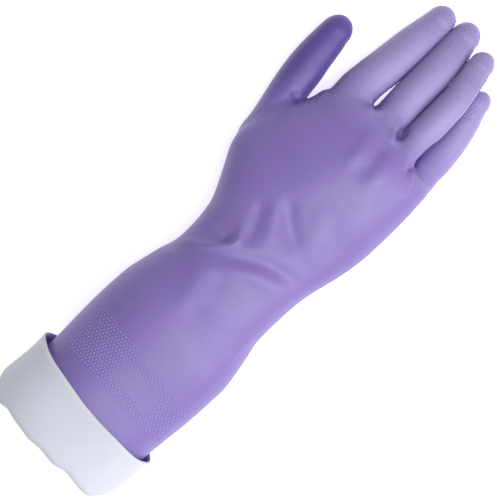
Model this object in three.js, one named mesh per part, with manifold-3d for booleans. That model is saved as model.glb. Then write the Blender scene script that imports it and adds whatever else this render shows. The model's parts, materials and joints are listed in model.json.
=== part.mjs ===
// A long-cuff household glove for the right hand, lying palm down with its cuff turned back once.
// Millimetres. +Y points to the fingertips, +Z up off the back of the hand, +X to the little finger.
// The origin is on the surface that the glove lies on, under the middle of its outline.
//
// The real glove is one dipped rubber shell with a flock lining bonded inside it. Both are divided here into the
// zones between the lines where the skin bends, so that each zone is a rigid piece on a hinge.
import * as THREE from 'three';
import { ParametricGeometry } from 'three/addons/geometries/ParametricGeometry.js';
import { mergeVertices } from 'three/addons/utils/BufferGeometryUtils.js';
import Module from 'manifold-3d';

const wasm = await Module();
wasm.setup();

// Skin: a rubber wall, a hair of clearance, and the nap of the flock.
const RUBBER = 0.6;
const CLEARANCE = 0.35;
const FLOCK = 0.6;
const LINING_OUT = RUBBER + CLEARANCE;
const LINING_IN = LINING_OUT + FLOCK;

// Bend lines: the slit between two zones, and the angle that the wrist slit opens by on each side.
const SLIT = 0.4;
const WRIST_Y = -22;
const WRIST_Z = 27;
const WRIST_OPENING = THREE.MathUtils.degToRad(18);

// Cuff: where it is folded, where its cut rim ends, and how far the turned-back leg stands off the gauntlet.
const FOLD_Y = -167.5;
const RIM_Y = -131;
const RIM_TILT = 5;
const CUFF_INNER_END = -126;
const BAND_STAND_OFF = 3;
const BAND_OUT = BAND_STAND_OFF + LINING_IN - RUBBER;
const GAUNTLET_HALF_THICK = 28.5;

// Facets around a section, an odd half step off so that one facet faces straight down.
const SLEEVE_SIDES = 20;
const FINGER_SIDES = 12;
const MAX_STEP = 26;
const CAP_TURNS = [0, 0.5, 0.82, 1];
const SLEEVE_Z = (GAUNTLET_HALF_THICK + BAND_OUT) * Math.cos(Math.PI / SLEEVE_SIDES);

const RUBBER_SKIN = { color: 0x9f8ec4, roughness: 0.5, metalness: 0 };
const FLOCK_NAP = { color: 0xd6d9e2, roughness: 0.95, metalness: 0 };

// Stations along each limb: [y, centre x, centre z, half width, half thickness].
const SLEEVE = {
  sides: SLEEVE_SIDES,
  cap: 4,
  stations: [
    [-169, 3.2, SLEEVE_Z, 41.5, GAUNTLET_HALF_THICK],
    [-145, 3.2, SLEEVE_Z, 41.5, GAUNTLET_HALF_THICK],
    [-122, 4, SLEEVE_Z, 42, GAUNTLET_HALF_THICK],
    [-92, 7.4, 31.5, 43.3, 28.5],
    [-70, 7.7, 30.5, 42.6, 27.5],
    [-48, 7.6, 28.5, 38.8, 26],
    [-30, 9.2, 27, 36.1, 24.5],
    [-16, 9.6, 26, 36.2, 23.5],
    [0, 9.8, 24.5, 38, 22.5],
    [24, 11.2, 22, 42.2, 20.5],
    [48, 12.2, 20.5, 43.2, 19],
    [72, 12.8, 19.5, 42.4, 17.5],
    [84, 14, 18, 40.5, 15.5],
  ],
};
const KNUCKLES = {
  sides: SLEEVE_SIDES,
  cap: 5,
  stations: [
    [50, -2.5, 19.5, 22.5, 17],
    [76, -2.5, 18.5, 22.5, 15.5],
    [92, -2.5, 17.5, 22.5, 13.5],
  ],
};
const THUMB = {
  sides: FINGER_SIDES,
  cap: 9.5,
  bends: [58, 91],
  stations: [
    [-14, -8, 20, 16, 14],
    [20, -22, 16, 18, 14.5],
    [40, -33.5, 13.5, 15, 13],
    [58, -41.2, 12.5, 10.4, 11],
    [74, -43.2, 12.3, 10.6, 10.5],
    [88, -44.8, 12, 10.8, 10],
    [104, -45.9, 11.2, 9.8, 9.2],
    [112, -46.8, 10.5, 8.4, 8.2],
  ],
};
const FINGERS = {
  index: {
    sides: FINGER_SIDES,
    cap: 9,
    bends: [100, 119, 142],
    stations: [
      [70, -14.8, 19, 11, 11],
      [100, -14, 15.5, 11.2, 10.2],
      [119, -12.8, 14.5, 10.6, 9.6],
      [142, -11, 12, 9.6, 9],
      [157, -9.6, 9.6, 8.1, 7.6],
    ],
  },
  middle: {
    sides: FINGER_SIDES,
    cap: 9,
    bends: [100, 121, 146],
    stations: [
      [70, 9.8, 20, 10, 11],
      [100, 10, 17, 10.2, 10.2],
      [121, 9.6, 16, 10.1, 9.6],
      [146, 8.8, 12.5, 9.6, 9],
      [160, 7.6, 9.8, 8.2, 7.6],
    ],
  },
  ring: {
    sides: FINGER_SIDES,
    cap: 8.5,
    bends: [95, 114, 139],
    stations: [
      [66, 29, 19.5, 8, 10.5],
      [95, 29.2, 20, 8.1, 9.8],
      [114, 29.4, 20.3, 8, 9.2],
      [139, 28.6, 19, 7.8, 8.6],
      [154, 25.6, 15.8, 7.2, 7.4],
    ],
  },
  little: {
    sides: FINGER_SIDES,
    cap: 7.5,
    bends: [89, 105, 126],
    stations: [
      [60, 45, 16.5, 8, 9.5],
      [89, 46, 12.6, 7.7, 8.8],
      [105, 46, 10, 7.2, 8.2],
      [126, 44.4, 8.4, 6.2, 7.2],
      [139.5, 42.8, 7.2, 5, 6.4],
    ],
  },
};

// The hand is divided once more, at heights y and between its fingers at x, into simple tubes. The root of the
// thumb is the part of the palm beyond THUMB_BASE_X.
const WRIST_END = 8;
const PALM_END = 62;
const KNUCKLES_END = 84;
const SOCKET_EDGES = [-100, -2, 20, 37, 100];
const THUMB_BASE_X = -29;
const THUMB_BASE_Y = 22;

// One section's centre and half sizes at a height y along a limb, smoothed between its stations.
function sectionAt(limb, y) {
  const last = limb.stations.length - 1;
  let i = 0;
  while (i < last - 1 && limb.stations[i + 1][0] < y) {
    i += 1;
  }
  const from = limb.stations[i][0];
  const to = limb.stations[i + 1][0];
  const t = (i + THREE.MathUtils.clamp((y - from) / (to - from), 0, 1)) / last;
  const centre = limb.centres.getPoint(t);
  const half = limb.halves.getPoint(t);
  return { x: centre.x, z: centre.z, width: half.x, thick: half.z };
}

function addCurves(limb) {
  limb.centres = new THREE.CatmullRomCurve3(limb.stations.map(([y, x, z]) => new THREE.Vector3(x, y, z)));
  limb.halves = new THREE.CatmullRomCurve3(limb.stations.map(([y, , , w, h]) => new THREE.Vector3(w, y, h)));
}

// A point of the skin, inset from the outer surface, at turn u (0 to 1) around the section at y.
function skinPoint(limb, y, inset, scale, u, target) {
  const section = sectionAt(limb, y);
  const angle = 2 * Math.PI * (u + 0.5 / limb.sides);
  const x = section.x + (section.width - inset) * scale * Math.cos(angle);
  const z = section.z + (section.thick - inset) * scale * Math.sin(angle);
  return target.set(x, 0, z);
}

function toSolid(geometry) {
  geometry.deleteAttribute('normal');
  geometry.deleteAttribute('uv');
  const merged = mergeVertices(geometry, 1e-4);
  const kept = [];
  for (let i = 0; i < merged.index.count; i += 3) {
    const corners = [0, 1, 2].map((k) => merged.index.getX(i + k));
    if (new Set(corners).size === 3) {
      kept.push(...corners);
    }
  }
  const vertProperties = new Float32Array(merged.attributes.position.array);
  const triVerts = new Uint32Array(kept);
  return new wasm.Manifold(new wasm.Mesh({ numProp: 3, vertProperties, triVerts }));
}

// The filled form of one limb: flat at its root and domed at its end.
function limbSolid(limb, inset) {
  const rows = [];
  const start = limb.stations[0][0];
  const end = limb.stations[limb.stations.length - 1][0];
  rows.push({ y: start, at: start, scale: 0 });
  for (let i = 0; i < limb.stations.length - 1; i += 1) {
    const from = limb.stations[i][0];
    const to = limb.stations[i + 1][0];
    const parts = to - from > MAX_STEP ? 2 : 1;
    for (let k = 0; k < parts; k += 1) {
      const y = from + ((to - from) * k) / parts;
      rows.push({ y, at: y, scale: 1 });
    }
  }
  for (const turn of CAP_TURNS) {
    const angle = (turn * Math.PI) / 2;
    const reach = (limb.cap - inset) * Math.sin(angle);
    rows.push({ y: end + reach, at: end, scale: turn === 1 ? 0 : Math.cos(angle) });
  }
  const surface = (u, v, target) => {
    const row = rows[Math.round(v * (rows.length - 1))];
    skinPoint(limb, row.at, inset, row.scale, 1 - u, target);
    target.y = row.y;
  };
  return toSolid(new ParametricGeometry(surface, limb.sides, rows.length - 1));
}

function boxSolid(x0, x1, y0, y1, z0, z1) {
  const box = new THREE.BoxGeometry(x1 - x0, y1 - y0, z1 - z0);
  box.translate((x0 + x1) / 2, (y0 + y1) / 2, (z0 + z1) / 2);
  return toSolid(box);
}

const FAR = 200;

function between(y0, y1) {
  return boxSolid(-FAR, FAR, y0, y1, -FAR, FAR);
}

// Half of space on one side of the wrist's bend line, cut back from it above and below so that it can turn.
function wristSide(sign) {
  const half = new THREE.Shape();
  const back = FAR * Math.tan(WRIST_OPENING);
  half.moveTo(0, 0);
  half.lineTo(back, FAR);
  half.lineTo(FAR * 2, FAR);
  half.lineTo(FAR * 2, -FAR);
  half.lineTo(back, -FAR);
  half.closePath();
  const wedge = new THREE.ExtrudeGeometry(half, { depth: 2 * FAR, bevelEnabled: false });
  wedge.translate(0, 0, -FAR);
  wedge.rotateX(Math.PI / 2);
  wedge.rotateZ((sign * Math.PI) / 2);
  wedge.translate(0, WRIST_Y + (sign * SLIT) / 2, WRIST_Z);
  return toSolid(wedge);
}

function gauntletForm(inset) {
  return limbSolid(SLEEVE, inset).intersect(between(CUFF_INNER_END + SLIT, WRIST_Y + FAR / 2));
}

function handForm(inset) {
  let form = limbSolid(SLEEVE, inset).add(limbSolid(KNUCKLES, inset));
  for (const finger of Object.values(FINGERS)) {
    form = form.add(limbSolid(finger, inset).intersect(between(-FAR, finger.bends[0] - SLIT / 2)));
  }
  return form.add(limbSolid(THUMB, inset).intersect(between(-FAR, THUMB.bends[0] - SLIT / 2)));
}

// The inside of the hand runs on through every root, so the roots are open.
function handHollow(inset) {
  let form = limbSolid(SLEEVE, inset).add(limbSolid(KNUCKLES, inset));
  for (const limb of [THUMB, ...Object.values(FINGERS)]) {
    form = form.add(limbSolid(limb, inset));
  }
  return form;
}

// The turned-back end as one closed profile, [offset from the gauntlet's outer surface, y], carried around it.
function foldedBand(profile) {
  const surface = (u, v, target) => {
    const [offset, y, onRim] = profile[Math.round(v * profile.length) % profile.length];
    skinPoint(SLEEVE, y, -offset, 1, u, target);
    const down = (SLEEVE_Z - target.z) / GAUNTLET_HALF_THICK;
    target.y = onRim ? y + RIM_TILT * down : y;
  };
  return toSolid(new ParametricGeometry(surface, SLEEVE_SIDES, profile.length));
}

function bandProfile(outerSkin, innerSkin, foldSkin, thick) {
  const bottom = FOLD_Y - foldSkin;
  const turn = 1.6;
  return [
    [-innerSkin, CUFF_INNER_END],
    [-innerSkin, FOLD_Y + turn],
    [-innerSkin + turn / 2, bottom],
    [outerSkin - turn / 2, bottom],
    [outerSkin, FOLD_Y + turn],
    [outerSkin, RIM_Y, true],
    [outerSkin + thick, RIM_Y, true],
    [outerSkin + thick, FOLD_Y + turn],
    [outerSkin + thick - turn, bottom - thick],
    [-innerSkin - thick + turn, bottom - thick],
    [-innerSkin - thick, FOLD_Y + turn],
    [-innerSkin - thick, CUFF_INNER_END],
  ];
}

const CUFF_SHELL_PROFILE = bandProfile(BAND_STAND_OFF - RUBBER, 0, 0, RUBBER);
const CUFF_LINING_PROFILE = bandProfile(BAND_STAND_OFF + CLEARANCE, LINING_OUT, CLEARANCE + RUBBER, FLOCK);

const glove = new THREE.Group();

function addPiece(name, solid, finish) {
  const mesh = solid.getMesh();
  const geometry = new THREE.BufferGeometry();
  geometry.setAttribute('position', new THREE.BufferAttribute(new Float32Array(mesh.vertProperties), 3));
  geometry.setIndex(new THREE.BufferAttribute(new Uint32Array(mesh.triVerts), 1));
  const piece = new THREE.Mesh(geometry, new THREE.MeshStandardMaterial(finish));
  piece.name = name;
  glove.add(piece);
}

function addZone(name, outerForm, innerForm, cut) {
  const shell = outerForm(0).subtract(innerForm(RUBBER));
  const lining = outerForm(LINING_OUT).subtract(innerForm(LINING_IN));
  addPiece(`${name}_shell`, shell.intersect(cut), RUBBER_SKIN);
  addPiece(`${name}_lining`, lining.intersect(cut), FLOCK_NAP);
}

function addLimb(name, limb, zones) {
  const form = (inset) => limbSolid(limb, inset);
  zones.forEach((zone, i) => {
    const end = i + 1 < zones.length ? limb.bends[i + 1] - SLIT / 2 : FAR;
    addZone(`${name}_${zone}`, form, form, between(limb.bends[i] + SLIT / 2, end));
  });
}

function addHand() {
  const thumbBase = boxSolid(-FAR, THUMB_BASE_X, THUMB_BASE_Y, PALM_END, -FAR, FAR);
  const besideThumb = boxSolid(-FAR, THUMB_BASE_X + SLIT, THUMB_BASE_Y - SLIT, PALM_END, -FAR, FAR);
  const palm = between(WRIST_END + SLIT, PALM_END - SLIT);
  addZone('wrist', handForm, handHollow, wristSide(1).intersect(between(-FAR, WRIST_END)));
  addZone('palm', handForm, handHollow, palm.subtract(besideThumb));
  addZone('thumb_base', handForm, handHollow, thumbBase);
  addZone('knuckles', handForm, handHollow, between(PALM_END, KNUCKLES_END));
  Object.keys(FINGERS).forEach((name, i) => {
    const [left, right] = SOCKET_EDGES.slice(i, i + 2);
    const socket = boxSolid(left + SLIT / 2, right - SLIT / 2, KNUCKLES_END + SLIT, FAR, -FAR, FAR);
    addZone(`${name}_socket`, handForm, handHollow, socket);
  });
}

[SLEEVE, KNUCKLES, THUMB, ...Object.values(FINGERS)].forEach(addCurves);

addPiece('cuff_shell', foldedBand(CUFF_SHELL_PROFILE), RUBBER_SKIN);
addPiece('cuff_lining', foldedBand(CUFF_LINING_PROFILE), FLOCK_NAP);
addZone('gauntlet', gauntletForm, (inset) => limbSolid(SLEEVE, inset), wristSide(-1));
addHand();
for (const [name, finger] of Object.entries(FINGERS)) {
  addLimb(name, finger, ['root', 'mid', 'tip']);
}
addLimb('thumb', THUMB, ['root', 'tip']);

export default glove;
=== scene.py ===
import json
import math

import bmesh
import bpy
import numpy as np
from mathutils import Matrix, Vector
from mathutils.bvhtree import BVHTree


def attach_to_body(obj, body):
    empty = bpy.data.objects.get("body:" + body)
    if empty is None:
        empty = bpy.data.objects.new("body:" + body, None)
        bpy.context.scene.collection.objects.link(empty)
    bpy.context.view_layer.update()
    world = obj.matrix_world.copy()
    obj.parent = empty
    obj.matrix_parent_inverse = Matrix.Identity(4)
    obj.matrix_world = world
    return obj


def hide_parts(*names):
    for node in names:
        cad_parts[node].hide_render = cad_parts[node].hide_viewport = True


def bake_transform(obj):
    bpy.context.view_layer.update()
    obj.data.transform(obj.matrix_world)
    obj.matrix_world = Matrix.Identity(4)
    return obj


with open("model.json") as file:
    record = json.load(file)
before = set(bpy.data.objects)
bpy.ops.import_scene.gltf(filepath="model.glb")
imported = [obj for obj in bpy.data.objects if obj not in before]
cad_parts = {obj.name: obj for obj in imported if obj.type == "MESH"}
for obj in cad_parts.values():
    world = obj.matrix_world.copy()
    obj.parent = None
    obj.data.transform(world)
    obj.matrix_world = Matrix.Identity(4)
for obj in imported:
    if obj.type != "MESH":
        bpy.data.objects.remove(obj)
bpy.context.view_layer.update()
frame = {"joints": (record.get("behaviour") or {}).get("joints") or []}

# --------------------------------------------------------------------------------------------------------
# Rubber skin: one dipped shell from the cuff to the fingertips, about half a millimetre thick.
# It takes the form of the porcelain hand that it was dipped on, so it is modelled as that form: a sleeve, a
# broad hand, four fingers and a thumb run together, then creased and puckered where the soft skin folds.

MM = 0.001

# All in millimetres: the grid that fuses the limbs, how far the skin is fuller than its sections, the lowest
# that skin and cuff may come to the table, where the sleeve's skin stops in the fold, and the two walls.
VOXEL = 1.0
FULLNESS = 0.3
SKIN_LOWEST = 0.4
CUFF_LOWEST = 0.1
SLEEVE_CUT = -152.0
RUBBER_WALL = 0.5
FLOCK_WALL = 0.5
LINING_TOP = RUBBER_WALL + 0.05

# How square each limb's section is: 2 is an ellipse.
SLEEVE_SQUARENESS = 2.15
KNUCKLE_SQUARENESS = 2.3
FINGER_SQUARENESS = 2.1

# Sections along each limb, in millimetres: height y, centre x and z, half width and half thickness.
SLEEVE = [
    (-172.0, 3.4, 33.0, 41.5, 28.5), (-150.0, 3.4, 33.0, 41.5, 28.5), (-135.0, 4.8, 32.8, 41.4, 28.5),
    (-119.3, 6.1, 32.2, 41.7, 28.5), (-104.3, 6.8, 31.5, 42.7, 28.5), (-84.3, 7.4, 31.0, 43.3, 28.2),
    (-74.3, 7.8, 30.7, 43.2, 27.7), (-64.3, 7.5, 30.0, 42.1, 27.0), (-54.3, 7.7, 29.0, 40.1, 26.0),
    (-44.3, 7.8, 28.0, 37.8, 25.0), (-34.3, 9.2, 27.2, 36.1, 24.3), (-24.3, 9.6, 26.5, 36.0, 23.8),
    (-14.3, 9.6, 26.0, 36.6, 23.4), (-4.3, 9.4, 25.0, 38.2, 22.8), (5.7, 8.4, 24.0, 41.7, 22.0),
    (15.7, 7.1, 23.0, 45.5, 21.0), (25.7, 5.5, 22.0, 48.9, 20.0), (33.7, 5.1, 21.5, 50.2, 19.4),
    (42.7, 6.2, 21.0, 49.5, 18.8), (57.0, 8.2, 20.3, 47.8, 18.0), (66.7, 10.4, 19.8, 45.5, 17.2),
    (75.0, 12.7, 19.3, 42.8, 16.2), (83.0, 13.4, 18.8, 41.6, 14.8),
]
KNUCKLES = [
    (56.0, 6.0, 19.5, 31.0, 16.5), (80.0, 6.0, 19.2, 31.6, 14.8), (89.0, 6.0, 18.8, 31.4, 13.2),
]
THUMB = [
    (0.0, -5.0, 20.0, 14.0, 14.0), (20.0, -18.0, 17.0, 20.0, 15.0), (35.7, -28.0, 14.5, 18.6, 13.5),
    (45.7, -33.5, 13.5, 14.3, 12.5), (55.7, -38.0, 12.8, 11.8, 11.8), (65.7, -40.9, 12.4, 11.2, 11.2),
    (75.7, -43.1, 11.8, 10.9, 10.6), (85.7, -44.3, 12.0, 11.0, 10.5), (95.7, -45.6, 11.6, 10.3, 10.0),
    (105.7, -46.2, 11.0, 9.5, 9.2), (111.0, -46.7, 10.6, 8.9, 8.6),
]
INDEX = [
    (60.0, -12.0, 19.0, 11.5, 12.0), (85.0, -13.4, 18.0, 12.0, 12.0), (95.7, -14.2, 16.9, 11.8, 11.2),
    (105.7, -14.1, 15.9, 11.2, 10.4), (115.7, -12.7, 15.2, 11.2, 10.0), (125.7, -11.8, 14.4, 10.8, 9.8),
    (135.7, -11.0, 13.2, 10.4, 9.5), (145.7, -10.1, 11.8, 9.5, 8.8), (157.0, -9.0, 9.8, 8.3, 7.6),
]
MIDDLE = [
    (60.0, 10.0, 20.0, 10.0, 12.5), (85.0, 10.2, 19.2, 10.6, 12.0), (95.7, 10.2, 18.0, 10.5, 11.2),
    (105.7, 10.1, 17.1, 10.6, 10.6), (115.7, 9.6, 16.6, 10.5, 10.2), (125.7, 9.6, 16.0, 10.6, 10.0),
    (135.7, 9.6, 14.8, 10.6, 9.8), (145.7, 9.1, 13.3, 10.2, 9.4), (155.7, 7.9, 11.2, 9.0, 8.4),
    (160.0, 7.5, 10.2, 8.4, 7.8),
]
RING = [
    (56.0, 28.0, 20.0, 9.0, 12.0), (80.0, 29.3, 20.0, 9.0, 11.5), (95.7, 29.1, 20.2, 8.9, 10.2),
    (105.7, 29.3, 20.4, 9.0, 9.7), (115.7, 29.7, 20.5, 9.3, 9.4), (125.7, 29.8, 20.3, 9.4, 9.2),
    (133.7, 29.7, 19.8, 9.4, 9.0), (140.7, 28.5, 19.0, 8.9, 8.7), (147.0, 26.8, 17.8, 8.3, 8.2),
    (154.0, 24.9, 16.0, 7.5, 7.4),
]
LITTLE = [
    (50.0, 44.0, 17.0, 9.0, 10.0), (75.0, 45.4, 15.0, 9.2, 9.8), (88.0, 45.6, 12.8, 8.9, 9.0),
    (95.7, 45.6, 11.4, 8.7, 8.6), (105.7, 45.3, 9.8, 8.5, 8.2), (115.7, 44.6, 8.7, 7.9, 7.8),
    (125.7, 43.0, 8.0, 7.4, 7.4), (135.7, 40.2, 7.4, 6.9, 7.0), (139.0, 39.3, 7.2, 6.6, 6.7),
]
# Each finger: its sections, dome length, web height, and how far it is held aside while the form is made.
FINGERS = {
    "index": (INDEX, 10.6, 101.0, -3.5),
    "middle": (MIDDLE, 10.8, 97.0, 0.0),
    "ring": (RING, 10.4, 97.0, 3.5),
    "little": (LITTLE, 9.6, 88.0, 9.0),
}
THUMB_DOME = 11.6
WEB_DEPTH = 5.0


def sections(stations, step):
    """Sections every step millimetres along a limb, on smooth curves through its stations."""
    table = np.array(stations)
    slope = np.gradient(table, table[:, 0], axis=0)
    rows = []
    for i in range(len(table) - 1):
        span = table[i + 1, 0] - table[i, 0]
        count = max(1, round(span / step))
        for t in np.arange(count) / count:
            rows.append(
                (2 * t**3 - 3 * t**2 + 1) * table[i]
                + (t**3 - 2 * t**2 + t) * span * slope[i]
                + (3 * t**2 - 2 * t**3) * table[i + 1]
                + (t**3 - t**2) * span * slope[i + 1]
            )
    rows.append(table[-1])
    return np.array(rows)


def row_at(rows, y):
    """The values of a table of sections at height y: centre x and z, half width and half thickness."""
    return [float(np.interp(y, rows[:, 0], rows[:, k])) for k in range(1, 5)]


def section_at(stations, y):
    """The section of a limb at height y."""
    return row_at(sections(stations, 2.0), y)


def eased(share):
    """A share that is held between 0 and 1 and leaves both ends softly."""
    share = np.clip(share, 0.0, 1.0)
    return share * share * (3 - 2 * share)


def rounded(angle, squareness):
    """The point at an angle round a section that lies between an ellipse and a box, for half widths of 1."""
    c, s = math.cos(angle), math.sin(angle)
    power = 2 / squareness
    return math.copysign(abs(c) ** power, c), math.copysign(abs(s) ** power, s)


def relax(bm, times):
    """Moves every vertex halfway to the middle of its neighbours, a number of times."""
    for _ in range(times):
        bmesh.ops.smooth_vert(
            bm, verts=bm.verts[:], factor=0.5, use_axis_x=True, use_axis_y=True, use_axis_z=True
        )


def aside(web, reach, y):
    """How far a finger is held aside at height y while the form is made, so that neighbours don't fuse."""
    return reach * eased((y - (web - WEB_DEPTH)) / 12.0)


def add_limb(bm, stations, dome, web=0.0, reach=0.0, squareness=FINGER_SQUARENESS, sides=48):
    """A limb's closed form: a ring extruded from section to section and closed by a dome at its end."""
    rows = [list(row) for row in sections(stations, 2.5)]
    last = rows[-1]
    for turn in np.linspace(0.12, 0.98, 8):
        rise = math.sin(turn * math.pi / 2)
        narrow = math.cos(turn * math.pi / 2) ** (2 / 2.2)
        rows.append([last[0] + dome * rise, last[1], last[2], last[3] * narrow, last[4] * narrow])
    for row in rows:
        row[1] += float(aside(web, reach, row[0]))
    ring = bmesh.ops.create_circle(bm, cap_ends=True, segments=sides, radius=1.0)["verts"]
    y, x, z, wide, thick = rows[0]
    for v in ring:
        across, up = rounded(math.atan2(v.co.y, v.co.x), squareness)
        v.co = Vector((x + wide * across, y, z + thick * up))
    cap = start_cap = ring[0].link_faces[0]
    for before, after in zip(rows, rows[1:]):
        made = bmesh.ops.extrude_face_region(bm, geom=[cap])["geom"]
        if cap is not start_cap:
            bm.faces.remove(cap)
        cap = next(f for f in made if isinstance(f, bmesh.types.BMFace))
        for v in cap.verts:
            v.co = Vector((
                after[1] + (v.co.x - before[1]) * after[3] / before[3],
                after[0],
                after[2] + (v.co.z - before[2]) * after[4] / before[4],
            ))


def mesh_object(name, bm, recalc=False):
    """A bmesh in millimetres made an object in metres."""
    if recalc:
        bmesh.ops.recalc_face_normals(bm, faces=bm.faces[:])
    bmesh.ops.scale(bm, vec=(MM, MM, MM), verts=bm.verts[:])
    mesh = bpy.data.meshes.new(name)
    bm.to_mesh(mesh)
    bm.free()
    for polygon in mesh.polygons:
        polygon.use_smooth = True
    piece = bpy.data.objects.new(name, mesh)
    bpy.context.scene.collection.objects.link(piece)
    return piece


def hand_form():
    """All the limbs run together into one closed surface, with the fingers still held apart."""
    bm = bmesh.new()
    add_limb(bm, SLEEVE, 8.0, squareness=SLEEVE_SQUARENESS, sides=96)
    add_limb(bm, KNUCKLES, 7.0, squareness=KNUCKLE_SQUARENESS, sides=64)
    add_limb(bm, THUMB, THUMB_DOME)
    for stations, dome, web, reach in FINGERS.values():
        add_limb(bm, stations, dome, web, reach)
    form = mesh_object("form", bm, recalc=True)
    remesh = form.modifiers.new("fuse", "REMESH")
    remesh.mode = "VOXEL"
    remesh.voxel_size = VOXEL * MM
    bpy.context.view_layer.update()
    fused = bpy.data.meshes.new_from_object(form.evaluated_get(bpy.context.evaluated_depsgraph_get()))
    bpy.data.objects.remove(form)
    bm = bmesh.new()
    bm.from_mesh(fused)
    bmesh.ops.scale(bm, vec=(1 / MM,) * 3, verts=bm.verts[:])
    relax(bm, 8)
    return bm


def finger_edge(left, right, y):
    """The line between two neighbouring fingers of the spread form, and how much it has to be closed up."""
    heights = (90.0, 110.0, 130.0, 150.0)
    middles = []
    for height in heights:
        a = section_at(FINGERS[left][0], height)
        b = section_at(FINGERS[right][0], height)
        right_edge = a[0] + a[2] + float(aside(*FINGERS[left][2:], height))
        left_edge = b[0] - b[2] + float(aside(*FINGERS[right][2:], height))
        middles.append((right_edge + left_edge) / 2)
    closing = aside(*FINGERS[right][2:], y) - aside(*FINGERS[left][2:], y)
    return np.interp(y, heights, middles), closing


def close_fingers(x, y):
    """Where each point of the spread form belongs across the hand, and the finger that it is on."""
    names = list(FINGERS)
    hand_edge = np.interp(y, (70.0, 80.0, 110.0), (-31.0, -29.5, -29.0))
    held = np.where(x > hand_edge, "index", "")
    moved = np.where(x > hand_edge, aside(*FINGERS["index"][2:], y), 0.0)
    for left, right in zip(names, names[1:]):
        edge, closing = finger_edge(left, right, y)
        share = np.clip((x - edge) / (1.05 * closing + 0.01) + 0.5, 0.0, 1.0)
        moved += share * closing
        held = np.where(x > edge, right, held)
    for name, (_, _, web, _) in FINGERS.items():
        held = np.where((held == name) & (y < web - WEB_DEPTH), "", held)
    return x - moved, held


def path_distance(path, x, y):
    """Signed distance to a line through points, and how far along it the nearest point is, from 0 to 1."""
    path = np.array(path, float)
    lengths = np.hypot(*np.diff(path, axis=0).T)
    total = lengths.sum()
    best = np.full(len(x), 1e9)
    along = np.zeros(len(x))
    side = np.ones(len(x))
    start = 0.0
    for a, b, length in zip(path, path[1:], lengths):
        run = (b - a) / length
        t = np.clip((x - a[0]) * run[0] + (y - a[1]) * run[1], 0, length)
        dx = x - a[0] - run[0] * t
        dy = y - a[1] - run[1] * t
        d = np.hypot(dx, dy)
        nearer = d < best
        best = np.where(nearer, d, best)
        along = np.where(nearer, (start + t) / total, along)
        side = np.where(nearer, np.sign(run[0] * dy - run[1] * dx + 1e-12), side)
        start += length
    return best * side, along


def smooth_path(points, step=1.5):
    """A curve through a few points, sampled finely."""
    table = np.array(points, float)
    chord = np.concatenate([[0], np.cumsum(np.hypot(*np.diff(table, axis=0).T))])
    rows = sections([(c, *p) for c, p in zip(chord, table)], step)
    return rows[:, 1:]


def crease(x, y, points, height, width):
    """The height of a soft fold along a curve, dying out over the first and last third of it."""
    ends = 0.35
    d, along = path_distance(smooth_path(points), x, y)
    q = d / width
    return height * np.exp(-q * q) * eased(np.minimum(along, 1 - along) / ends)


def bump_at(x, y, cx, cy, height, wide, long, turn=0.0):
    """A soft swelling or hollow, oval, at one place."""
    c, s = math.cos(math.radians(turn)), math.sin(math.radians(turn))
    u = (x - cx) * c + (y - cy) * s
    v = (y - cy) * c - (x - cx) * s
    return height * np.exp(-((u / wide) ** 2) - (v / long) ** 2)


def climb(x, y, up):
    """How far the back of the hand is lifted: it climbs from the thumb's side to the middle knuckles."""
    heights = (20.0, 48.0, 58.0, 66.0, 73.0, 90.0)
    thumb_side = np.interp(y, heights, (-47.0, -42.0, -38.5, -34.5, -30.5, -29.5))
    lift = 6.0 * np.clip(up * 1.3, 0, 1)
    for share in ((x - thumb_side) / 56.0, (y - 2.0) / 45.0, (108.0 - y) / 40.0, (66.0 - x) / 34.0):
        lift = lift * eased(share)
    return lift


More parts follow.
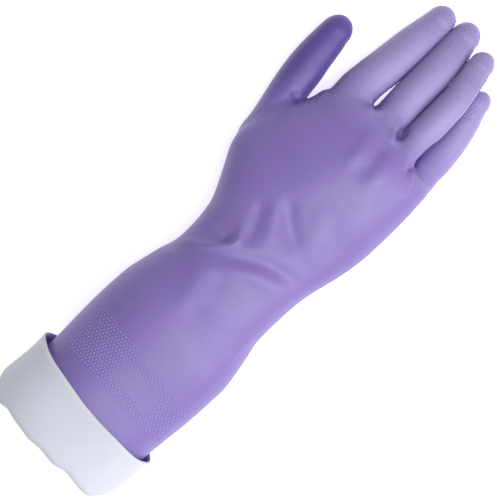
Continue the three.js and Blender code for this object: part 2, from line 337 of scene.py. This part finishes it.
def sculpt(x, y, up):
    """How far the skin stands out of its plain form on the back of the hand and the wrist."""
    back = np.clip(up * 1.6, 0, 1)
    out = np.zeros(len(x))
    # the edge of the hand where it passes over the root of the thumb
    out += crease(
        x, y, [(-30.5, 73.0), (-34.9, 67.0), (-39.0, 58.5), (-42.6, 43.5), (-45.0, 34.0)], 0.55, 1.3
    )
    out += bump_at(x, y, -36.5, 69.5, -1.6, 3.6, 2.2, -40)
    # a ring of taut skin round each web, and a pocket within it
    out += crease(x, y, [(-6.5, 103.0), (-5.6, 97.5), (-1.3, 93.0), (3.4, 96.0), (4.0, 102.0)], 1.7, 1.7)
    out += bump_at(x, y, -1.4, 100.5, -3.6, 2.0, 4.5)
    out += crease(x, y, [(14.0, 104.0), (15.5, 96.0), (20.0, 89.5), (25.0, 92.0)], 1.5, 1.8)
    out += bump_at(x, y, 20.6, 96.5, -3.0, 2.2, 4.0)
    out += bump_at(x, y, 37.3, 86.5, -2.6, 2.0, 3.6)
    out += crease(x, y, [(37.2, 86.5), (41.5, 81.5), (45.5, 73.0), (48.0, 65.0)], 1.0, 1.3)
    # tendon-like ridges from the knuckles over the back of the hand, and the hollows between them
    out += crease(x, y, [(6.5, 92.0), (10.0, 78.0), (11.5, 58.0)], 1.1, 5.0)
    out += crease(x, y, [(24.0, 90.0), (28.0, 72.0), (28.0, 50.0)], 1.1, 5.5)
    out += crease(x, y, [(17.5, 92.0), (19.0, 76.0), (19.0, 56.0)], -1.1, 4.5)
    out += crease(x, y, [(34.5, 86.0), (37.5, 70.0), (37.0, 52.0)], -0.9, 4.5)
    # soft folds that fan out from the wrist towards the root of the thumb
    out += crease(x, y, [(6.0, -12.0), (-1.0, 1.0), (-9.0, 18.0)], -1.3, 4.2)
    out += crease(x, y, [(28.0, 6.0), (15.0, 14.0), (-1.0, 28.0)], -1.5, 4.8)
    out += crease(x, y, [(16.0, -5.0), (6.0, 8.0), (-6.0, 24.0)], 0.7, 4.2)
    out += crease(x, y, [(36.0, 4.0), (28.0, 20.0), (16.0, 40.0)], 1.0, 6.0)
    # the wrist: a sharp pocket on the thumb side with a ridge round it, and soft slanting folds
    ridge = [(-29.0, -38.0), (-22.0, -31.5), (-14.5, -26.5), (-7.0, -19.5), (-2.5, -11.5)]
    out += crease(x, y, [*ridge, (-5.0, -5.5), (-12.0, -1.0)], 1.5, 2.0)
    out += bump_at(x, y, -8.0, -13.5, -2.4, 4.0, 3.6, 40)
    out += bump_at(x, y, -15.0, -16.0, -2.2, 9.0, 5.5, 45)
    out += crease(
        x, y, [(-6.0, -26.0), (8.0, -15.5), (20.0, -8.5), (33.0, -5.5), (47.0, -6.0)], -1.5, 4.6
    )
    out += crease(x, y, [(-6.0, -34.0), (8.0, -24.0), (22.0, -17.0), (40.0, -15.0)], 0.9, 5.0)
    out += crease(x, y, [(-9.0, -26.0), (-3.0, -42.0), (4.0, -66.0)], 1.0, 6.5)
    out += crease(x, y, [(2.0, -24.0), (8.0, -38.0), (16.0, -58.0)], -0.6, 6.0)
    out += crease(x, y, [(43.5, -36.0), (41.0, -48.0), (42.0, -66.0)], 0.8, 2.6)
    # slow unevenness of soft rubber
    out += 0.5 * np.sin(x / 15.0 + y / 31.0 + 0.6) * np.sin(y / 23.0 - x / 40.0 + 1.1) * (y < 80)
    return out * back


def palm_folds(x, y, up):
    """The same for the palm side: a hollow palm, a pad at the thumb's root, and the creases."""
    under = np.clip(-up * 1.6, 0, 1)
    out = bump_at(x, y, 12.0, 46.0, -4.0, 15.0, 22.0, 12)
    out += bump_at(x, y, -22.0, 34.0, 2.0, 12.0, 18.0, 25)
    out += crease(x, y, [(-24.0, 62.0), (-6.0, 50.0), (0.0, 30.0), (-4.0, 8.0)], -1.2, 2.4)
    out += crease(x, y, [(-20.0, 72.0), (6.0, 70.0), (30.0, 76.0), (48.0, 74.0)], -1.1, 2.4)
    out += crease(x, y, [(-12.0, -18.0), (8.0, -14.0), (30.0, -18.0)], -1.3, 3.2)
    out += crease(x, y, [(-18.0, -30.0), (8.0, -27.0), (34.0, -32.0)], 0.9, 4.0)
    out += 0.5 * np.sin(x / 17.0 - y / 29.0 + 2.0) * np.sin(y / 21.0 + x / 37.0)
    for stations, _, web, _ in FINGERS.values():
        for reach in (4.0, 24.0, 47.0):
            cx, _, half, _ = section_at(stations, web + reach)
            out += bump_at(x, y, cx, web + reach, -0.8, half * 1.2, 1.8) * (y > web - 6)
    return out * under


def shaped_skin():
    """The finished outer surface as a mesh, and the finger that each vertex is on."""
    bm = hand_form()
    bm.verts.ensure_lookup_table()
    co = np.array([v.co for v in bm.verts])
    co[:, 0], held = close_fingers(co[:, 0], co[:, 1])
    for v, place in zip(bm.verts, co):
        v.co = place
    relax(bm, 3)
    bm.normal_update()
    co = np.array([v.co for v in bm.verts])
    normal = np.array([v.normal for v in bm.verts])
    x, y, z = co.T
    rise = FULLNESS + sculpt(x, y, normal[:, 2]) + palm_folds(x, y, normal[:, 2])
    co += normal * rise[:, None]
    co[:, 2] += climb(x, y, normal[:, 2])
    co[:, 2] = np.maximum(co[:, 2], SKIN_LOWEST)
    for v, place in zip(bm.verts, co):
        v.co = place
    relax(bm, 1)
    bm.normal_update()
    bm.faces.ensure_lookup_table()
    return bm, held


skin, skin_finger = shaped_skin()
skin_tree = BVHTree.FromBMesh(skin)

bend_y = {joint["child"]: joint["pos_m"][1] / MM for joint in frame["joints"]}

# Where the skin is divided. The wrist bends between two heights. A finger's own skin starts a little beyond
# its web, and the thumb's where it leaves the hand. Each joint's bending span reaches a short way on both
# sides of it.
WRIST_BENDS = (-55.0, 8.0)
KNUCKLE_CUT = 1.5
THUMB_FREE = 48.0
HALF_BEND = 7.0
FINGER_PARTS = ("root", "mid", "tip")
THUMB_PARTS = ("root", "tip")

# The name of each zone, the bodies it joins, and the heights between which it goes from one to the other.
zones = {
    "gauntlet": ("gauntlet", None, None),
    "wrist": ("gauntlet", "hand", WRIST_BENDS),
    "hand": ("hand", None, None),
}
cuts = {}
limb_parts = {**{name: FINGER_PARTS for name in FINGERS}, "thumb": THUMB_PARTS}
for limb, parts in limb_parts.items():
    bends = [bend_y[f"{limb}_{part}"] for part in parts]
    free = FINGERS[limb][2] + KNUCKLE_CUT if limb in FINGERS else THUMB_FREE
    edges = [free] + [(a + b) / 2 for a, b in zip(bends, bends[1:])] + [math.inf]
    cuts[limb] = edges
    before = "hand"
    for part, bend, low, high in zip(parts, bends, edges, edges[1:]):
        span = (max(low + 0.5, bend - HALF_BEND), min(high - 0.5, bend + HALF_BEND))
        zones[f"{limb}_{part}"] = (before, f"{limb}_{part}", span)
        before = f"{limb}_{part}"


def zone_of_faces():
    """The zone that each face of the skin belongs to."""
    centre = np.array([f.calc_center_median() for f in skin.faces])
    finger = np.array([skin_finger[f.verts[0].index] for f in skin.faces])
    x, y = centre[:, 0], centre[:, 1]
    zone = np.full(len(x), "hand", dtype="<U16")
    zone[y < WRIST_BENDS[1]] = "wrist"
    zone[y < WRIST_BENDS[0]] = "gauntlet"
    zone[y < SLEEVE_CUT] = ""
    on_thumb = x < np.interp(y, (48.0, 58.0, 66.0, 73.0, 90.0), (-42.5, -39.0, -35.0, -30.8, -31.0))
    for limb, edges in cuts.items():
        mine = on_thumb if limb == "thumb" else finger == limb
        for part, low, high in zip(limb_parts[limb], edges, edges[1:]):
            zone[mine & (y >= low) & (y < high)] = f"{limb}_{part}"
    return zone


skin_zone = zone_of_faces()
skin_normals = skin.verts.layers.float_vector.new("skin_normal")
for v in skin.verts:
    v[skin_normals] = v.normal
whole_skin = bpy.data.meshes.new("whole_skin")
skin.to_mesh(whole_skin)


def skin_piece(name, zone, outer, inner):
    """One zone of the skin as a closed wall between two depths below its outer surface."""
    bm = bmesh.new()
    bm.from_mesh(whole_skin)
    bm.faces.ensure_lookup_table()
    bmesh.ops.delete(bm, geom=[f for f in bm.faces if skin_zone[f.index] != zone], context="FACES")
    layer = bm.verts.layers.float_vector["skin_normal"]
    front = bm.verts[:]
    rim = [e for e in bm.edges if e.is_boundary]
    copied = bmesh.ops.duplicate(bm, geom=bm.verts[:] + bm.edges[:] + bm.faces[:])
    twin = copied["vert_map"]
    back_faces = [g for g in copied["geom"] if isinstance(g, bmesh.types.BMFace)]
    bmesh.ops.reverse_faces(bm, faces=back_faces)
    for v in front:
        w = twin[v]
        w.co = v.co - v[layer] * inner
        v.co = v.co - v[layer] * outer
        w[layer] = -w[layer]
    for e in rim:
        loop = e.link_loops[0]
        a, b = loop.vert, loop.link_loop_next.vert
        bm.faces.new((b, a, twin[a], twin[b]))
    piece = mesh_object(name, bm)
    normals = np.zeros(len(piece.data.vertices) * 3, np.float32)
    piece.data.attributes["skin_normal"].data.foreach_get("vector", normals)
    piece.data.normals_split_custom_set_from_vertices(normals.reshape(-1, 3))
    piece.data.attributes.remove(piece.data.attributes["skin_normal"])
    return piece


def attach(piece, zone, finish):
    """Gives a piece its finish. A piece of one body is attached to it; a piece between two bodies is only
    baked in place.
    """
    piece.data.materials.clear()
    piece.data.materials.append(finish)
    first, second, span = zones[zone]
    if second is None:
        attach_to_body(piece, first)
    else:
        span[0] * MM
        span[1] * MM
        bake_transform(piece)


class Field:
    """A value in a material's nodes. Arithmetic on it adds the Math nodes."""

    def __init__(self, tree, socket):
        self.tree = tree
        self.socket = socket

    def node(self, kind, settings, inputs, out=0):
        """Adds one node: its settings first, then each socket's number or link."""
        made = self.tree.nodes.new(kind)
        for key, value in settings.items():
            setattr(made, key, value)
        for key, value in inputs.items():
            if isinstance(value, Field):
                self.tree.links.new(value.socket, made.inputs[key])
            else:
                made.inputs[key].default_value = value
        return Field(self.tree, made.outputs[out])

    def _math(self, operation, a, b):
        return self.node("ShaderNodeMath", {"operation": operation}, {0: a, 1: b})

    def __add__(self, other):
        return self._math("ADD", self, other)

    def __mul__(self, other):
        return self._math("MULTIPLY", self, other)

    def noise(self, scale, detail=3.0):
        inputs = {"Vector": self, "Scale": scale, "Detail": detail, "Roughness": 0.5}
        return self.node("ShaderNodeTexNoise", {}, inputs)

    def ramp(self, low, high):
        """This value carried smoothly from 0 at one end to 1 at the other."""
        inputs = {"Value": self, 1: low, 2: high, 3: 0.0, 4: 1.0}
        return self.node("ShaderNodeMapRange", {"interpolation_type": "SMOOTHSTEP"}, inputs)

    def mix(self, low, high):
        """This value as the share from one colour to another."""
        return self.node("ShaderNodeMix", {"data_type": "RGBA"}, {"Factor": self, 6: low, 7: high}, out=2)


def new_finish(name):
    """An empty material: its shader, and the place on the piece."""
    finish = bpy.data.materials.new(name)
    finish.use_nodes = True
    tree = finish.node_tree
    place = Field(tree, tree.nodes.new("ShaderNodeTexCoord").outputs["Object"])
    return finish, tree.nodes["Principled BSDF"], place


def feed(shader, name, value):
    """Joins a value to one input of a shader."""
    value.tree.links.new(value.socket, shader.inputs[name])


def srgb(r, g, b):
    """A colour from its 0 to 255 values."""
    return (*[((c / 255 + 0.055) / 1.055) ** 2.4 if c > 10 else c / 3295 for c in (r, g, b)], 1.0)


def rubber_finish(name, low, high):
    """Satin rubber between two tones, with painted light that makes it paler over the fingers and painted
    shade that makes it deeper on the thumb.
    """
    finish, shader, place = new_finish(name)
    shader.inputs["IOR"].default_value = 1.5
    shader.inputs["Specular IOR Level"].default_value = 0.55
    tone = place.noise(22.0, 3.0) * 0.75 + place.noise(420.0, 2.0) * 0.25
    across = place.node("ShaderNodeSeparateXYZ", {}, {"Vector": place}, out=0)
    along = place.node("ShaderNodeSeparateXYZ", {}, {"Vector": place}, out=1)
    # Painted light: the rubber is made paler and greyer over the fingers, standing in for the brighter light
    # and broad highlights on them.
    finger_painted_light = along.ramp(0.075, 0.118)
    # Painted shade: the rubber is made deeper on the thumb, standing in for the shade that falls on it.
    thumb = along.ramp(0.045, 0.085) * across.ramp(-0.028, -0.036)
    colour = tone.mix(low, high)
    colour = finger_painted_light.mix(colour, srgb(152, 137, 190))
    colour = thumb.mix(colour, srgb(92, 73, 149))
    feed(shader, "Base Color", colour)
    feed(shader, "Roughness", place.noise(60.0) * 0.14 + 0.40)
    grain = place.noise(1100.0, 2.0) * 0.6 + place.noise(260.0, 2.0) * 0.4
    bump = grain.node("ShaderNodeBump", {}, {"Strength": 0.16, "Distance": 0.0004, "Height": grain})
    feed(shader, "Normal", bump)
    return finish


lilac_rubber = rubber_finish("lilac_rubber", srgb(118, 98, 167), srgb(137, 118, 182))
HAND_NODES = ("wrist", "palm", "thumb_base", "knuckles", *[f"{name}_socket" for name in FINGERS])
NODES = {"gauntlet": ("gauntlet",), "wrist": ("gauntlet", "wrist"), "hand": HAND_NODES}


def zone_nodes(zone, layer):
    """The CAD nodes of one layer that a zone stands in for."""
    return [f"{node}_{layer}" for node in NODES.get(zone, (zone,))]


for zone in zones:
    piece = skin_piece(f"{zone}_skin", zone, 0.0, RUBBER_WALL)
    attach(piece, zone, lilac_rubber)
    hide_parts(*zone_nodes(zone, "shell"))

# --------------------------------------------------------------------------------------------------------
# Grip dots: small round bumps moulded in the same dip as the skin. They cover the palm, the palm side of the
# fingers and thumb, most of the way round the fingertips, and a band across the gauntlet with a plain gap.

# Radius and height of a dot on the band, on the palm and on a finger, and how far the dots are apart.
BAND_DOT = (0.70, 0.34)
PALM_DOT = (0.62, 0.32)
FINGER_DOT = (0.62, 0.30)
BAND_PITCH = 2.1
PALM_PITCH = 1.95
FINGER_PITCH = 1.9
FINGER_ROWS = 1.7

dome = bmesh.new()
bmesh.ops.create_uvsphere(dome, u_segments=7, v_segments=5, radius=1.0)
dome_points = np.array([v.co for v in dome.verts])
dome_mesh = bpy.data.meshes.new("dot")
dome.to_mesh(dome_mesh)
dome.free()
dot_meshes = {}


def add_dot(hit, radius, height):
    """One low dome standing on the skin at a ray's hit, in the mesh of the zone that it is on."""
    place, _, face, _ = hit
    if face is None or skin_zone[face] == "":
        return
    corner = skin.faces[face].verts
    weights = [1.0 / ((v.co - place).length + 0.05) for v in corner]
    smooth = sum((v[skin_normals] * w for v, w in zip(corner, weights)), Vector()).normalized()
    mesh = dot_meshes.setdefault(str(skin_zone[face]), bmesh.new())
    turn = np.array(smooth.to_track_quat("Z", "X").to_matrix())
    corners = (dome_points * (radius, radius, height)) @ turn.T + place
    dome_mesh.vertices.foreach_set("co", corners.astype(np.float32).ravel())
    mesh.from_mesh(dome_mesh, face_normals=False, vertex_normals=False)


def on_band(x, y):
    """Whether a dot of the gauntlet's band belongs at this place."""
    y = y + 0.07 * (x - 8.0)
    in_left = -30.0 < x < 1.0 and -119.5 < y < -91.5
    in_top = 1.0 <= x < 29.0 and -100.0 < y < -94.0
    in_low = 1.0 <= x < 29.0 and -119.5 < y < -112.5
    in_right = 29.0 <= x < 46.0 and -119.5 < y < -94.0
    return in_left or in_top or in_low or in_right


def staggered(left, low, columns, rows, pitch):
    """Places row after row, every second row shifted by half a pitch."""
    for row in range(rows):
        for column in range(columns):
            yield left + (column + row % 2 / 2) * pitch, low + row * pitch * 0.866


def limb_dots(name, stations, dome, start, tip_start, facing, reach, smooth_side=1):
    """Rows of dots round a finger: on the side it grips with, and at its tip over most of its back.

    One side of the tip's back stays bare. It is the thumb's side when smooth_side is 1, and a wider part of
    the other side when smooth_side is -2.
    """
    last = stations[-1]
    radius = (last[3] + last[4]) / 2
    rows = [(y, 0.0) for y in np.arange(start, last[0], FINGER_ROWS)]
    rows += [(last[0], lift) for lift in np.arange(0.4, 0.85, FINGER_ROWS / radius)]
    for k, (y, lift) in enumerate(rows):
        x, z, wide, thick = section_at(stations, y)
        around = max(6, round(2 * math.pi * (wide + thick) / 2 * math.cos(lift) / FINGER_PITCH))
        for j in range(around):
            angle = 2 * math.pi * (j + k % 2 / 2) / around
            side = Vector((math.cos(angle), 0.0, math.sin(angle)))
            height = y + dome * math.sin(lift)
            bare = side.z > 0.0 and side.x * smooth_side < -0.45
            if side.dot(facing) < reach and (height < tip_start or bare):
                continue
            ray = side * math.cos(lift) + Vector((0.0, math.sin(lift), 0.0))
            hit = skin_tree.ray_cast(Vector((x, y, z)), ray, 30.0)
            if hit[2] is not None and str(skin_zone[hit[2]]).startswith(name):
                add_dot(hit, *FINGER_DOT)


# A paler copy of the rubber for the dots: painted light that stands in for their lit tops.
dot_rubber_painted_light = rubber_finish("lilac_rubber_dots_painted_light", srgb(138, 120, 188), srgb(152, 136, 197))
TIP_STARTS = {"index": 148.0, "middle": 150.0, "ring": 142.5, "little": 128.0}
THUMB_DOTS_START = 62.0
THUMB_TIP_START = 112.0
FINGER_GRIP = Vector((0.0, 0.0, -1.0))
THUMB_GRIP = Vector((0.80, 0.0, -0.60))

for x, y in staggered(-50.0, -128.0, 60, 40, BAND_PITCH):
    if on_band(x, y):
        add_dot(skin_tree.ray_cast(Vector((x, y, 90.0)), Vector((0, 0, -1))), *BAND_DOT)
for x, y in staggered(-60.0, 8.0, 80, 60, PALM_PITCH):
    hit = skin_tree.ray_cast(Vector((x, y, -40.0)), Vector((0, 0, 1)))
    if hit[2] is not None and skin_zone[hit[2]] == "hand" and hit[1].z < -0.45:
        add_dot(hit, *PALM_DOT)
for name, (stations, dome, web, _) in FINGERS.items():
    bare_side = -2 if name == "little" else 1
    limb_dots(name, stations, dome, web + 4.0, TIP_STARTS[name], FINGER_GRIP, 0.15, bare_side)
limb_dots("thumb", THUMB, THUMB_DOME, THUMB_DOTS_START, THUMB_TIP_START, THUMB_GRIP, 0.1)
for zone, mesh in dot_meshes.items():
    piece = mesh_object(f"{zone}_dots", mesh)
    attach(piece, zone, dot_rubber_painted_light)
    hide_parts(*zone_nodes(zone, "shell"))

# --------------------------------------------------------------------------------------------------------
# Flock lining: short white cotton fibres blown onto the wet rubber, bonded all over the inside.
# It follows the skin everywhere, so it is the same surface a wall deeper.


def flock_finish():
    """White cotton nap: quite matt, with a faint sheen and slow changes of tone."""
    finish, shader, place = new_finish("cotton_flock")
    shader.inputs["Specular IOR Level"].default_value = 0.15
    shader.inputs["Sheen Weight"].default_value = 0.25
    shader.inputs["Sheen Roughness"].default_value = 0.5
    nap = place.noise(2600.0, 3.0) * 0.6 + place.noise(700.0, 3.0) * 0.4
    tone = place.noise(30.0, 3.0) * 0.6 + nap * 0.4
    feed(shader, "Base Color", tone.mix(srgb(200, 203, 213), srgb(211, 214, 223)))
    feed(shader, "Roughness", nap * 0.1 + 0.88)
    bump = nap.node("ShaderNodeBump", {}, {"Strength": 0.35, "Distance": 0.0004, "Height": nap})
    feed(shader, "Normal", bump)
    return finish


cotton_flock = flock_finish()
for zone in zones:
    piece = skin_piece(f"{zone}_flock", zone, LINING_TOP, LINING_TOP + FLOCK_WALL)
    attach(piece, zone, cotton_flock)
    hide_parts(*zone_nodes(zone, "lining"))

# --------------------------------------------------------------------------------------------------------
# Turned-back cuff: the last 35 mm or so of the same skin, folded out over itself.
# Its flock faces out and its rubber faces the gauntlet. The fold is soft and a little wavy, and the cut rim
# stands off the gauntlet.

CUFF_SIDES = 240
FOLD_RADIUS = 1.9
BAND_STAND = 3.3
CUFF_JOIN = -151.0
CUFF_INNER = 1.1
sleeve_rows = sections(SLEEVE, 2.0)


def rim_height(angle):
    """The height of the cut rim at an angle round the cuff: it slants and is a little wavy."""
    return -127.5 - 5.0 * math.cos(angle) - 5.5 * math.sin(angle) + 0.25 * math.sin(7 * angle + 0.5)


def fold_height(angle):
    """The height of the fold at an angle round the cuff: it is drawn up at both sides and is wavy."""
    ends = 11.0 * abs(math.cos(angle)) ** 10
    waves = 0.7 * math.sin(6 * angle + 1.0) + 0.45 * math.sin(11 * angle + 2.2) + 0.3 * math.sin(17 * angle)
    return -164.7 - 1.3 * math.cos(angle) + ends + waves


def cuff_profile(depth_out, depth_in):
    """The folded wall as (leg, share along the leg, depth), once round its section."""
    profile = [("band", share, depth_in) for share in np.linspace(0.0, 1.0, 14)]
    profile += [("band", share, depth_out) for share in np.linspace(1.0, 0.0, 14)]
    profile += [("fold", turn, depth_out) for turn in np.linspace(0.1, 0.9, 9)]
    profile += [("inside", 0.0, depth_out), ("inside", 1.0, depth_out)]
    profile += [("inside", 1.0, depth_in), ("inside", 0.0, depth_in)]
    profile += [("fold", turn, depth_in) for turn in np.linspace(0.9, 0.1, 9)]
    return profile


def cuff_point(angle, leg, share, depth):
    """A point of the folded wall. Depth counts from the rubber's face to the flock's."""
    fold = fold_height(angle)
    rim = rim_height(angle)
    stand = BAND_STAND - 0.8 * math.cos(angle)
    if leg == "band":
        y = fold + (rim - fold) * share
        belly = 0.45 * math.sin(math.pi * share) * math.sin(3 * angle + 0.8)
        offset = stand + depth + 0.7 * share**3 + belly
    elif leg == "inside":
        y = fold + (CUFF_JOIN - fold) * share
        offset = -depth
    else:
        half = stand / 2
        y = fold - (FOLD_RADIUS + depth) * math.sin(math.pi * share)
        offset = half + (half + depth) * math.cos(math.pi * share)
    x, z, wide, thick = row_at(sleeve_rows, y)
    across, up = rounded(angle, SLEEVE_SQUARENESS)
    return Vector((x + (wide + offset) * across, y, max(z + (thick + offset) * up, CUFF_LOWEST)))


def cuff_piece(name, depth_out, depth_in):
    """The folded wall swept round the cuff: a ring extruded along the profile and joined to its start."""
    bm = bmesh.new()
    profile = cuff_profile(depth_out, depth_in)
    ring = bmesh.ops.create_circle(bm, segments=CUFF_SIDES, radius=1.0)["verts"]
    angles = {v: math.atan2(v.co.y, v.co.x) for v in ring}
    for v in ring:
        v.co = cuff_point(angles[v], *profile[0])
    edges = first_edges = bm.edges[:]
    for step in profile[1:]:
        made = bmesh.ops.extrude_edge_only(bm, edges=edges)["geom"]
        fresh = {g for g in made if isinstance(g, bmesh.types.BMVert)}
        for v in fresh:
            angles[v] = next(angles[e.other_vert(v)] for e in v.link_edges if e.other_vert(v) not in fresh)
            v.co = cuff_point(angles[v], *step)
        edges = [g for g in made if isinstance(g, bmesh.types.BMEdge) and fresh.issuperset(g.verts)]
    bmesh.ops.bridge_loops(bm, edges=edges + first_edges)
    return mesh_object(name, bm, recalc=True)


band_rubber = cuff_piece("cuff_rubber", 0.0, RUBBER_WALL)
band_flock = cuff_piece("cuff_flock", LINING_TOP, CUFF_INNER)
for piece, slot, finish, node in (
    (band_rubber, "rubber", lilac_rubber, "cuff_shell"),
    (band_flock, "flock", cotton_flock, "cuff_lining"),
):
    piece.data.materials.append(finish)
    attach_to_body(piece, "gauntlet")
    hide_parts(node)

# --------------------------------------------------------------------------------------------------------
# Studio: a pale floor, a broad light from the little-finger side, another from above, and a camera straight
# above. The floor glows a little, so that it stays pale without hard shadows.

FLOOR_SIZE = 3000.0
FLOOR_GLOW = 0.6
SKY_GLOW = 0.34
KEY_POWER = 9.5
TOP_POWER = 11.0
AIM_X = 5.2
AIM_Y = -9.5
VIEW_WIDTH = 278.3
VIEW_LENS = 200.0
SENSOR = 36.0
VIEW_HEIGHT = VIEW_WIDTH / SENSOR * VIEW_LENS
MID_HEIGHT = 26.0

bm = bmesh.new()
bmesh.ops.create_grid(bm, x_segments=1, y_segments=1, size=FLOOR_SIZE)
floor = mesh_object("floor", bm)
floor_finish = bpy.data.materials.new("studio_floor")
floor_finish.use_nodes = True
floor_shader = floor_finish.node_tree.nodes["Principled BSDF"]
floor_shader.inputs["Base Color"].default_value = (0.93, 0.93, 0.94, 1)
floor_shader.inputs["Roughness"].default_value = 0.9
floor_shader.inputs["Emission Color"].default_value = (1.0, 1.0, 1.0, 1)
floor_shader.inputs["Emission Strength"].default_value = FLOOR_GLOW
floor.data.materials.append(floor_finish)

world = bpy.data.worlds.new("studio")
world.use_nodes = True
sky = world.node_tree.nodes["Background"]
sky.inputs["Color"].default_value = (0.95, 0.96, 1.0, 1)
sky.inputs["Strength"].default_value = SKY_GLOW
bpy.context.scene.world = world


def area_light(name, place, target, size, power):
    """A round light that faces its target."""
    light = bpy.data.lights.new(name, "AREA")
    light.shape = "DISK"
    light.size = size
    light.energy = power
    lamp = bpy.data.objects.new(name, light)
    lamp.location = place
    lamp.rotation_euler = (Vector(target) - Vector(place)).to_track_quat("-Z", "Y").to_euler()
    bpy.context.scene.collection.objects.link(lamp)


area_light("key", (1.0, 0.2, 0.9), (0.0, 0.05, 0.02), 0.8, KEY_POWER)
area_light("top", (0.35, 0.15, 1.45), (0.0, 0.0, 0.0), 1.0, TOP_POWER)

camera_data = bpy.data.cameras.new("camera")
camera_data.lens = VIEW_LENS
camera_data.sensor_width = SENSOR
camera_data.clip_end = 20.0
camera = bpy.data.objects.new("camera", camera_data)
camera.location = (AIM_X * MM, AIM_Y * MM, (VIEW_HEIGHT + MID_HEIGHT) * MM)
camera.rotation_euler = (0.0, 0.0, math.radians(45.0))
bpy.context.scene.collection.objects.link(camera)
bpy.context.scene.camera = camera
bpy.context.scene.view_settings.view_transform = "Standard"
